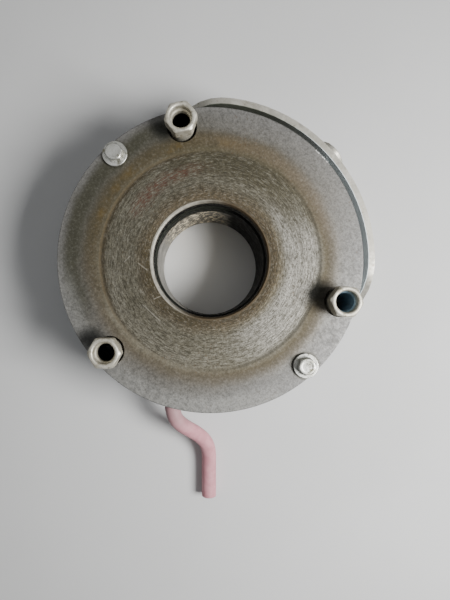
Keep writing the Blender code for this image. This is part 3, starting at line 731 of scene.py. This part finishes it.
def rounded(profile, radius, closed=True, steps=3):
    """The profile's points with each corner rounded, as far as its two sides leave room."""
    points = [Vector(p) for p in profile]
    result = []
    for i, corner in enumerate(points):
        if not closed and i in (0, len(points) - 1):
            result.append(tuple(corner))
            continue
        before = points[i - 1] - corner
        after = points[(i + 1) % len(points)] - corner
        reach = min(radius, 0.45 * before.length, 0.45 * after.length)
        start = corner + before.normalized() * reach
        end = corner + after.normalized() * reach
        for step in range(steps + 1):
            t = step / steps
            result.append(tuple(start.lerp(corner, t).lerp(corner.lerp(end, t), t)))
    return result


def strips(made, rows, closed):
    """Joins rows of points by faces; a row of one point is the middle of a cap."""
    pairs = list(zip(rows, rows[1:]))
    if closed:
        pairs.append((rows[-1], rows[0]))
    for upper, lower in pairs:
        count = max(len(upper), len(lower))
        for i in range(count):
            after = (i + 1) % count
            if len(upper) == 1:
                made.faces.new((upper[0], lower[i], lower[after]))
            elif len(lower) == 1:
                made.faces.new((upper[i], lower[0], upper[after]))
            else:
                made.faces.new((upper[i], lower[i], lower[after], upper[after]))


def lathe(profile, steps, closed=True, shape=None):
    """A bmesh of (radius, height) points turned about Z, outer side first and downwards."""
    made = bmesh.new()
    rows = []
    for radius, height in profile:
        if radius == 0:
            rows.append([made.verts.new((0, 0, height))])
            continue
        ring = []
        for i in range(steps):
            angle = math.tau * i / steps
            reach = shape(radius, height, angle) if shape else radius
            ring.append(made.verts.new((reach * math.cos(angle), reach * math.sin(angle), height)))
        rows.append(ring)
    strips(made, rows, closed)
    return made


def hexagon(flats, softness, thread_top=0.0):
    """Limits a turned shape to a hexagon, and cuts a bolt's thread in it below a height."""

    def shape(radius, height, angle):
        total = 0.0
        for i in range(6):
            total += max(math.cos(angle - math.radians(30 + 60 * i)), 0.0) ** softness
        side = flats / 2 / total ** (1 / softness)
        reach = (radius**-softness + side**-softness) ** (-1 / softness)
        if height < thread_top and radius > BOLT_R - THREAD_DEPTH / 2:
            turn = height / THREAD_PITCH - angle / math.tau
            reach -= THREAD_DEPTH * (0.5 - 0.5 * math.cos(math.tau * turn))
        return reach

    return shape


def add_mesh(name, made, look):
    """A bmesh as an object with its look, shown in the scene."""
    mesh = bpy.data.meshes.new(name)
    made.to_mesh(mesh)
    made.free()
    if look:
        mesh.materials.append(look)
    obj = bpy.data.objects.new(name, mesh)
    bpy.context.scene.collection.objects.link(obj)
    return obj


def shade(obj, smooth):
    obj.data.shade_smooth()
    obj.data.set_sharp_from_angle(angle=math.radians(smooth))
    even = obj.modifiers.new("Even", "WEIGHTED_NORMAL")
    even.keep_sharp = True


def settle(obj, slot, body, *stands_for, smooth=35):
    """Shades a piece, sets it on its body and lets it stand for CAD nodes."""
    shade(obj, smooth)
    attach(obj, body)
    if stands_for:
        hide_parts(*stands_for)
    return obj


def moved(made, place):
    bmesh.ops.translate(made, verts=made.verts, vec=place)
    return made


def keep_modified(obj):
    bpy.context.view_layer.update()
    graph = bpy.context.evaluated_depsgraph_get()
    mesh = bpy.data.meshes.new_from_object(obj.evaluated_get(graph))
    obj.modifiers.clear()
    obj.data = mesh


def cut(obj, shapes):
    """Cuts closed shapes out of an object and keeps the result as its mesh."""
    whole = bmesh.new()
    for shape in shapes:
        mesh = bpy.data.meshes.new("shape")
        shape.to_mesh(mesh)
        shape.free()
        whole.from_mesh(mesh)
    tool = add_mesh("tool", whole, None)
    modifier = obj.modifiers.new("Cut", "BOOLEAN")
    modifier.object = tool
    modifier.solver = "EXACT"
    keep_modified(obj)
    bpy.data.objects.remove(tool)


def dressed(node, look, slot, width, smooth=35):
    """A copy of a CAD node with its edges rounded, which stands for it."""
    made = bmesh.new()
    made.from_mesh(NODES[node].data)
    bmesh.ops.remove_doubles(made, verts=made.verts, dist=1e-6)
    bmesh.ops.dissolve_limit(
        made, angle_limit=math.radians(0.5), verts=made.verts, edges=made.edges
    )
    obj = add_mesh(f"{node}_fine", made, look)
    edges = obj.modifiers.new("Edges", "BEVEL")
    edges.width = width
    edges.segments = 3
    edges.limit_method = "ANGLE"
    edges.angle_limit = math.radians(smooth)
    keep_modified(obj)
    return settle(obj, slot, NODES[node]["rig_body"], node, smooth=smooth)


def smooth_route(points, spacing):
    """Points read at an even spacing from a smooth curve through the route's own points."""
    padded = [2 * points[0] - points[1], *points, 2 * points[-1] - points[-2]]
    steps = 40
    dense = []
    for before, start, end, after in zip(padded, padded[1:], padded[2:], padded[3:]):
        for step in range(steps):
            t = step / steps
            dense.append(
                0.5
                * (
                    2 * start
                    + (end - before) * t
                    + (2 * before - 5 * start + 4 * end - after) * t**2
                    + (3 * start - before - 3 * end + after) * t**3
                )
            )
    dense.append(points[-1])
    lengths = [0.0]
    for a, b in zip(dense, dense[1:]):
        lengths.append(lengths[-1] + (b - a).length)
    count = round(lengths[-1] / spacing)
    route = []
    at = 0
    for i in range(count + 1):
        wanted = lengths[-1] * i / count
        while at < len(lengths) - 2 and lengths[at + 1] < wanted:
            at += 1
        share = (wanted - lengths[at]) / (lengths[at + 1] - lengths[at])
        route.append(dense[at].lerp(dense[at + 1], share))
    return route, lengths[-1]


def sweep(route, sections, sides):
    """A bmesh along a route; each section is a radius and how many route steps along it lies."""
    side = Vector((0, 0, 1))
    frames = []
    for i, point in enumerate(route):
        ahead = (route[min(i + 1, len(route) - 1)] - route[max(i - 1, 0)]).normalized()
        side = (side - ahead * side.dot(ahead)).normalized()
        frames.append((point, ahead, side))
    made = bmesh.new()
    rows = []
    for radius, at in sections:
        low = min(int(at), len(route) - 2)
        point, ahead, first = (a.lerp(b, at - low) for a, b in zip(frames[low], frames[low + 1]))
        second = ahead.cross(first).normalized()
        if radius == 0:
            rows.append([made.verts.new(point)])
            continue
        ring = []
        for i in range(sides):
            angle = math.tau * i / sides
            out = first * math.cos(angle) - second * math.sin(angle)
            ring.append(made.verts.new(point + out * radius))
        rows.append(ring)
    strips(made, rows, closed=False)
    return made


def sleeve_sections(last):
    """The sleeve along its route: a rounded start, a slightly uneven skin and a rolled open end."""
    rng = random.Random(5)
    lip = LEAD_LIP / LEAD_STEP
    recess = LEAD_RECESS / LEAD_STEP
    sections = [(0, 0), (LEAD_R * 0.86, 0), (LEAD_R * 0.97, 0.25), (LEAD_R, 0.6)]
    for i in range(1, last - 1):
        sections.append((LEAD_R * (1 - LEAD_UNEVENNESS * rng.random()), i))
    for step in range(5):
        turn = math.pi / 2 * step / 4
        rolled = LEAD_R - LEAD_LIP * (1 - math.cos(turn))
        sections.append((rolled, last - lip * (1 - math.sin(turn))))
    wall_in = LEAD_R - LEAD_WALL
    sections += [(wall_in + LEAD_LIP / 2, last), (wall_in, last - lip / 2)]
    sections += [(wall_in, last - recess), (0, last - recess)]
    return sections


def add_wires(route):
    """Two thin wires side by side, which show in the sleeve's open end."""
    recess = LEAD_RECESS / LEAD_STEP
    steps = WIRE_POINTS - 1
    sections = [(0, steps - recess), (WIRE_R, steps - recess), (WIRE_R, steps - 0.5)]
    sections += [(WIRE_R * 0.9, steps - 0.35), (0, steps - 0.35)]
    ahead = route[-1] - route[-3]
    beside = ahead.cross(Vector((0, 0, 1))).normalized() * WIRE_R * WIRE_SPREAD
    wires = []
    for i, (way, look) in enumerate(((-1, "wire_blue"), (1, "wire_black")), 1):
        line = [point + beside * way for point in route[-WIRE_POINTS:]]
        wire = add_mesh(f"lead_wire_{i}", sweep(line, sections, 24), looks[look])
        wires.append(settle(wire, "black_rubber", "magnet"))
    return wires


def add_lead():
    """The lead in its silicone sleeve, open at the far end with two wires inside."""
    onward = [Vector((LEAD_START.x + x, LEAD_START.y + y, z)) for x, y, z in LEAD_ROUTE]
    start = [LEAD_START, LEAD_START + LEAD_OUT * LEAD_STRAIGHT]
    route, length = smooth_route([*start, *onward], LEAD_STEP)
    sections = sleeve_sections(len(route) - 1)
    sleeve = add_mesh("lead_sleeve_fine", sweep(route, sections, 40), looks["silicone"])
    settle(sleeve, "pink_silicone", "magnet", "lead_sleeve")
    wires = add_wires(route)


def plate_profile(rng):
    """The plate's section: from the rim of its face round to the bore, then out over the track."""
    track = Z_FACE - TRACK_DEPTH
    profile = rounded(
        [
            (TRACK_R + 3 * TRACK_SHOULDER, Z_FACE),
            (PLATE_R, Z_FACE),
            (PLATE_R, Z_PLATE),
            (PLATE_BORE_R, Z_PLATE),
            (PLATE_BORE_R, track - BORE_CHAMFER),
            (PLATE_BORE_R + BORE_CHAMFER, track),
        ],
        PLATE_ROUND,
        closed=False,
    )
    first = PLATE_BORE_R + 1.3 * BORE_CHAMFER
    rows = 58
    for i in range(rows):
        radius = first + (TRACK_R - TRACK_SHOULDER / 2 - first) * i / (rows - 1)
        profile.append((radius, track - rng.uniform(0.0, TRACK_SCORE)))
    for step in range(7):
        share = step / 6
        rise = 3 * share**2 - 2 * share**3
        profile.append((TRACK_R + TRACK_SHOULDER * (2 * share - 0.2), track + TRACK_DEPTH * rise))
    return profile


def plate_drill(node, radius):
    """A drill's shape for a hole with a chamfered mouth, where a bolt passes the plate."""
    drill = [
        (0, Z_FACE + EDGE),
        (radius + 1.4 * EDGE, Z_FACE + EDGE),
        (radius, Z_FACE - 0.4 * EDGE),
        (radius, Z_PLATE - EDGE),
        (0, Z_PLATE - EDGE),
    ]
    spot = middle(node)
    return moved(lathe(drill, 56, closed=False), (spot.x, spot.y, 0))


def edge_bite(pixel, rng):
    """A rough little lump on the plate's edge, straight out from a pixel's point."""
    bite = bmesh.new()
    bmesh.ops.create_icosphere(bite, subdivisions=2, radius=rng.uniform(*BITE_R))
    for vertex in bite.verts:
        vertex.co *= rng.uniform(0.75, 1.1)
    centre = Vector((AXIS.x, AXIS.y, Z_FACE))
    return moved(bite, centre + (on_face(pixel) - centre).normalized() * PLATE_R)


def add_plate():
    """The armature plate: scored track, soft shoulder, drilled holes and a nicked edge."""
    rng = random.Random(11)
    made = moved(lathe(plate_profile(rng), 240), (AXIS.x, AXIS.y, 0))
    plate = add_mesh("armature_plate_fine", made, looks["plate"])
    tools = [plate_drill(node, GUIDE_R) for node in SLEEVES]
    tools += [plate_drill(f"release_bolt_{i}", BOLT_HOLE_R) for i in SIDES]
    tools += [edge_bite(pixel, rng) for pixel, _ in CHIPS[::2]]
    cut(plate, tools)
    settle(plate, "worn_steel", "armature", "armature_plate", smooth=40)


def dent(mesh, size, depth, seed):
    """Presses a mesh in by noise, as years of spanners do."""
    shift = Vector((seed, 2 * seed, -seed))
    places = []
    for vertex in mesh.vertices:
        press = max(noise.noise(vertex.co / size + shift), 0.0)
        places.append(vertex.co - vertex.normal * depth * press)
    for vertex, place in zip(mesh.vertices, places):
        vertex.co = place


def sleeve_profile(low, top):
    """A sleeve bolt's section, with a bevelled head and a bore that steps out at its mouth."""
    corner = SLEEVE_FLATS / math.sqrt(3)
    under = top - SLEEVE_HEAD_H
    step = top - SLEEVE_MOUTH_DEPTH
    bevel_in, bevel_up = SLEEVE_UNDER_BEVEL
    profile = [
        (0.47 * SLEEVE_FLATS, top),
        (corner, top - SLEEVE_BEVEL),
        (corner, under + bevel_up),
        (corner - bevel_in, under),
        (SLEEVE_R, under),
        (SLEEVE_R, low),
        (SLEEVE_BORE_R, low),
        (SLEEVE_BORE_R, step - SLEEVE_BORE_STEP),
        (SLEEVE_MOUTH_R, step),
        (SLEEVE_MOUTH_R, top - SLEEVE_MOUTH_CHAMFER),
        (SLEEVE_MOUTH_R + SLEEVE_MOUTH_CHAMFER, top),
    ]
    return rounded(profile, SLEEVE_ROUND, steps=4)


def divided(profile, spacing):
    """A closed profile with more points on the sides that lie above the plate's back."""
    fine = []
    for a, b in zip(profile, [*profile[1:], profile[0]]):
        shown = min(a[1], b[1]) > Z_PLATE
        pieces = max(1, round(math.dist(a, b) / spacing)) if shown else 1
        for i in range(pieces):
            t = i / pieces
            fine.append((a[0] + (b[0] - a[0]) * t, a[1] + (b[1] - a[1]) * t))
    return fine


def add_sleeve_bolts():
    """The hollow sleeve bolts, with worn hexagon heads and a stepped bore."""
    for seed, (node, turn) in enumerate(zip(SLEEVES, SLEEVE_TURNS), 1):
        low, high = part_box(node)
        spot = middle(node)
        fine = divided(sleeve_profile(low.z, high.z), SLEEVE_FACET)
        made = lathe(fine, 120, shape=hexagon(SLEEVE_FLATS, 34))
        bmesh.ops.rotate(made, verts=made.verts, matrix=Matrix.Rotation(turn, 3, "Z"))
        bolt = add_mesh(f"{node}_fine", moved(made, (spot.x, spot.y, 0)), looks["dirty_zinc"])
        dent(bolt.data, DENT_SIZE, DENT_DEPTH, 3.7 * seed)
        settle(bolt, "dirty_zinc", "magnet", node, smooth=50)


def bolt_profile(low, top, thread_top):
    """A release bolt's section, with rows enough below the thread's top to cut the thread in."""
    corner = BOLT_FLATS / math.sqrt(3)
    under = top - BOLT_HEAD_H
    bevel_in, bevel_up = BOLT_UNDER_BEVEL
    profile = [
        (0, top - BOLT_DIMPLE),
        (0.30 * BOLT_FLATS, top - BOLT_DIMPLE),
        (0.36 * BOLT_FLATS, top),
        (HEAD_FACE_R, top),
        (corner, top - BOLT_BEVEL),
        (corner, under + bevel_up),
        (corner - bevel_in, under),
        (BOLT_R, under),
        (BOLT_R, thread_top),
    ]
    profile = rounded(profile, BOLT_ROUND, closed=False)
    rise = THREAD_PITCH / THREAD_ROWS
    count = round((thread_top - low - BOLT_BEVEL) / rise)
    profile += [(BOLT_R, thread_top - rise * step) for step in range(1, count)]
    return [*profile, (BOLT_R - THREAD_DEPTH, low), (0, low)]


def nut_profile(low, top):
    corner = BOLT_FLATS / math.sqrt(3)
    profile = [
        (HEAD_FACE_R, top),
        (corner, top - BOLT_BEVEL),
        (corner, low + BOLT_BEVEL),
        (HEAD_FACE_R, low),
        (NUT_BORE_R + NUT_CHAMFER, low),
        (NUT_BORE_R, low + NUT_CHAMFER),
        (NUT_BORE_R, top - NUT_CHAMFER),
        (NUT_BORE_R + NUT_CHAMFER, top),
    ]
    return rounded(profile, NUT_ROUND)


def washer(node):
    low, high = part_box(node)
    outer = (high.x - low.x) / 2
    ring = [(outer, high.z), (outer, low.z), (NUT_BORE_R, low.z), (NUT_BORE_R, high.z)]
    return lathe(rounded(ring, WASHER_ROUND), 72)


def add_release_hardware():
    """Release bolts with their threads, nuts, and washers with rounded edges."""
    for i in SIDES:
        low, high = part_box(f"release_bolt_{i}")
        nut_low, nut_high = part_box(f"release_nut_{i}")
        spot = middle(f"release_bolt_{i}")
        thread_top = nut_high.z + THREAD_REACH
        bolt = bolt_profile(low.z, high.z, thread_top)
        nut = nut_profile(nut_low.z, nut_high.z)
        pieces = [
            (f"release_bolt_{i}", lathe(bolt, 72, False, hexagon(BOLT_FLATS, 70, thread_top))),
            (f"release_nut_{i}", lathe(nut, 96, shape=hexagon(BOLT_FLATS, 70))),
        ]
        pieces += [(node, washer(node)) for node in (f"front_washer_{i}", f"rear_washer_{i}")]
        for node, made in pieces:
            piece = add_mesh(f"{node}_fine", moved(made, (spot.x, spot.y, 0)), looks["bright_zinc"])
            settle(piece, "bright_zinc", "release_bolts", node, smooth=42)


def helix(radius, wire_r, low, high, turns):
    """A compression spring's wire, with one closed turn at each end."""
    closed_rise = 2.2 * wire_r
    bottom = low + wire_r
    open_rise = high - wire_r - bottom - 2 * closed_rise
    per_turn = 36
    points = []
    for i in range(turns * per_turn + 1):
        turn = i / per_turn
        rise = closed_rise * (min(turn, 1) + max(turn - turns + 1, 0))
        rise += open_rise * min(max((turn - 1) / (turns - 2), 0), 1)
        angle = math.tau * turn
        points.append(Vector((radius * math.cos(angle), radius * math.sin(angle), bottom + rise)))
    return points


def add_springs():
    """Round wire for each spring."""
    for kind, numbers, joint, coil_r, wire_r, turns, keep in SPRINGS:
        for node in (f"{kind}_{i}" for i in numbers):
            low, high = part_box(node)
            spot = middle(node)
            route = helix(coil_r, wire_r, low.z, high.z, turns)
            last = len(route) - 1
            sections = [(0, 0), *((wire_r, k) for k in range(last + 1)), (0, last)]
            made = moved(sweep(route, sections, 12), (spot.x, spot.y, 0))
            spring = add_mesh(f"{node}_fine", made, looks["spring"])
            settle(spring, "spring_steel", "magnet", node, smooth=60)
            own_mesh(spring)


def add_boss():
    """The lever boss, with its thread."""
    low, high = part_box("lever_boss")
    spot = middle("lever_boss")
    outer = (high.x - low.x) / 2
    length = high.y - low.y
    seat = length - BOSS_LIP
    profile = [
        (BOSS_BORE_R + EDGE, length),
        (outer, length),
        (outer, seat),
        (BOSS_SPIGOT_R, seat),
        (BOSS_SPIGOT_R, 0),
        (BOSS_BORE_R, 0),
    ]
    profile = rounded(profile, BOSS_ROUND, closed=False)
    rows = round(length / BOSS_PITCH * THREAD_ROWS)
    profile += [(BOSS_BORE_R, length * i / rows) for i in range(1, rows)]

    def thread(radius, height, angle):
        turn = height / BOSS_PITCH - angle / math.tau
        cut_depth = BOSS_THREAD_DEPTH * (0.5 - 0.5 * math.cos(math.tau * turn))
        return radius + (cut_depth if radius == BOSS_BORE_R else 0.0)

    made = lathe(profile, 72, shape=thread)
    bmesh.ops.rotate(made, verts=made.verts, matrix=Matrix.Rotation(-math.pi / 2, 3, "X"))
    boss = add_mesh("lever_boss_fine", moved(made, (spot.x, low.y, spot.z)), looks["pressed"])
    settle(boss, "pressed_steel", "yoke", "lever_boss", smooth=45)


def aimed(place, target):
    turn = (place - target).to_track_quat("Z", "Y")
    return Matrix.Translation(place) @ turn.to_matrix().to_4x4()


def add_stage():
    """A pale floor, a soft key light on the photograph's right and weak fill all round."""
    made = bmesh.new()
    bmesh.ops.create_grid(made, x_segments=8, y_segments=8, size=FLOOR_SIZE)
    floor = add_mesh("floor", made, floor_look())
    floor.location.z = CAD_BOUNDS[0][2] - FLOOR_DROP
    target = Vector((AXIS.x, AXIS.y, Z_FACE))
    # Each lamp's place, its size in metres and its power in watts
    lamps = [
        ("key", plan(0.42, -0.13, 0.50), 0.26, 8.0),
        ("fill", plan(-0.45, 0.25, 0.60), 0.60, 0.5),
        ("top", plan(0.10, 0.20, 0.90), 0.70, 0.6),
    ]
    for name, place, size, power in lamps:
        data = bpy.data.lights.new(name, "AREA")
        data.size = size
        data.energy = power
        lamp = bpy.data.objects.new(name, data)
        lamp.matrix_world = aimed(place, target)
        bpy.context.scene.collection.objects.link(lamp)
    world = bpy.data.worlds.new("studio")
    world.use_nodes = True
    sky = world.node_tree.nodes["Background"]
    sky.inputs["Color"].default_value = (0.80, 0.84, 0.90, 1)
    sky.inputs["Strength"].default_value = 0.12
    bpy.context.scene.world = world


add_camera()
looks = {
    "plate": plate_look(),
    "magnet": magnet_look(),
    "dirty_zinc": metal_look(
        "dirty_zinc",
        metallic=0.6,
        tones=((0.52, 0.49, 0.40), (0.70, 0.67, 0.58)),
        dirt=(0.24, 0.21, 0.13),
        dirt_share=0.45,
        roughness=(0.40, 0.60),
        rust=(0.20, 0.12, 0.05),
        detail=sleeve_bores,
    ),
    "bright_zinc": metal_look(
        "bright_zinc",
        metallic=0.85,
        tones=((0.50, 0.50, 0.45), (0.82, 0.82, 0.78)),
        dirt=(0.25, 0.24, 0.17),
        dirt_share=0.5,
        roughness=(0.28, 0.46),
    ),
    "pressed": metal_look(
        "pressed_steel",
        metallic=0.7,
        tones=((0.46, 0.44, 0.38), (0.62, 0.60, 0.53)),
        dirt=(0.28, 0.25, 0.19),
        dirt_share=0.4,
        roughness=(0.42, 0.62),
        rust=(0.20, 0.11, 0.06),
        detail=yoke_wall,
    ),
    "spring": metal_look(
        "spring_steel",
        metallic=0.9,
        tones=((0.16, 0.16, 0.17), (0.30, 0.29, 0.28)),
        dirt=(0.10, 0.09, 0.08),
        dirt_share=0.2,
        roughness=(0.32, 0.50),
    ),
    "copper": coil_look(),
    "nylon": soft_look(
        "black_nylon", ((0.025, 0.025, 0.026), (0.045, 0.045, 0.045)), (0.4, 0.55), grain=1200
    ),
    "resin": soft_look(
        "amber_resin", ((0.14, 0.06, 0.02), (0.24, 0.11, 0.04)), (0.3, 0.45), grain=400, depth=0.0002
    ),
    "rubber": soft_look(
        "black_rubber", ((0.022, 0.022, 0.022), (0.04, 0.038, 0.036)), (0.6, 0.8), grain=1500
    ),
    "silicone": soft_look(
        "pink_silicone", ((0.53, 0.235, 0.265), (0.61, 0.295, 0.325)), (0.5, 0.66), grain=1600,
        grime_shade_spot=LEAD_START,
    ),
    "wire_blue": soft_look(
        "blue_wire", ((0.02, 0.05, 0.20), (0.03, 0.08, 0.28)), (0.35, 0.5), grain=1200
    ),
    "wire_black": soft_look(
        "black_wire", ((0.02, 0.02, 0.02), (0.04, 0.04, 0.04)), (0.35, 0.5), grain=1200
    ),
}
add_lead()
add_plate()
dressed("magnet_body", looks["magnet"], "dark_cast_steel", width=0.0004)
add_sleeve_bolts()
add_release_hardware()
dressed("release_yoke", looks["pressed"], "pressed_steel", width=0.0007)
add_boss()
dressed("lead_grommet", looks["rubber"], "black_rubber", width=0.0006)
add_springs()
for node, look in (("coil_bobbin", "nylon"), ("coil_winding", "copper"), ("coil_potting", "resin")):
    NODES[node].data.materials.clear()
    NODES[node].data.materials.append(looks[look])
add_stage()
